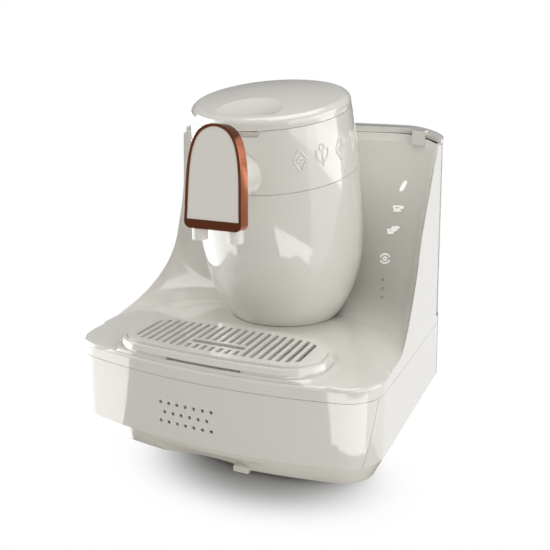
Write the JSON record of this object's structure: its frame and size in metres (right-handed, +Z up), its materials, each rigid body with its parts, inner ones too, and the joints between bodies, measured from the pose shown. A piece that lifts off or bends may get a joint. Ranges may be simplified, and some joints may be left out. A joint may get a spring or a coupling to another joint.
{
  "type": "electric turkish coffee maker",
  "caption": "Countertop turkish coffee maker: leaning lidded brewing column, twin-nozzle spout over a lift-out drip tray, touch-key wing and rear water tank.",
  "frame": {"origin": "on the floor under the middle of the footprint", "axes": "+Z up, -Y to the user, +X to the user's right"},
  "size_m": [0.274, 0.2508, 0.2965],
  "materials": {
    "shell": "warm white gloss",
    "plinth": "warm white gloss",
    "copper": "polished copper plate",
    "panel": "high gloss",
    "tank": "smoked clear plastic",
    "rubber": "matte",
    "silicone": "matte",
    "steel": "brushed",
    "heater": "cast",
    "dark_plastic": "matte",
    "board": "solder mask",
    "coil": "satin",
    "white_plastic": "satin"
  },
  "bodies": {
    "body": {"base_plate": "plinth", "base_shell": "shell", "feet": "rubber", "shield": "shell", "tray_seat": "shell", "column_shell": "shell", "column_ring": "shell", "lid_pin": "steel", "brew_chamber": "steel", "spout_housing": "shell", "spout_trim": "copper", "spout_panel": "panel", "nozzle_left": "white_plastic", "nozzle_right": "white_plastic", "chamber_gasket": "silicone", "chamber_carrier": "white_plastic", "heater_plate": "heater", "chamber_sensor": "steel", "valve_block": "white_plastic", "valve_coil": "coil", "spout_header": "silicone", "pump": "dark_plastic", "pump_mounts": "rubber", "supply_hose": "silicone", "feed_hose": "silicone", "control_board": "board", "touch_board": "board", "speaker": "dark_plastic", "inlet_gland": "dark_plastic", "tank_socket": "white_plastic", "base_screws": "steel"},
    "lid": {"lid_cover": "shell", "lid_liner": "white_plastic"},
    "tray": {"drip_tray": "shell"},
    "grille": {"drip_grille": "shell"},
    "tank": {"water_tank": "tank"},
    "tank_cover": {"tank_lid": "shell"},
    "tank_valve": {"tank_valve_stem": "white_plastic"},
    "outlet_plunger": {"valve_plunger": "steel"}
  },
  "joints": [
    {"name": "lid_hinge", "type": "hinge", "parent": "body", "child": "lid", "pos_m": [0, 0.08224, 0.28895], "axis": [-1, 0, 0], "range_deg": [0, 70]},
    {"name": "tray_lift", "type": "slide", "parent": "body", "child": "tray", "axis": [0, 0, 1], "range_m": [0, 0.04]},
    {"name": "grille_lift", "type": "slide", "parent": "tray", "child": "grille", "axis": [0, 0, 1], "range_m": [0, 0.03]},
    {"name": "tank_lift", "type": "slide", "parent": "body", "child": "tank", "axis": [0, 0, 1], "range_m": [0, 0.18]},
    {"name": "tank_lid_lift", "type": "slide", "parent": "tank", "child": "tank_cover", "axis": [0, 0, 1], "range_m": [0, 0.03]},
    {"name": "tank_valve_stroke", "type": "slide", "parent": "tank", "child": "tank_valve", "axis": [0, 0, 1], "range_m": [0, 0.004]},
    {"name": "outlet_stroke", "type": "slide", "parent": "body", "child": "outlet_plunger", "axis": [0, 0, -1], "range_m": [0, 0.0065], "stiffness_N_per_m": 60, "springref_m": -0.008}
  ]
}
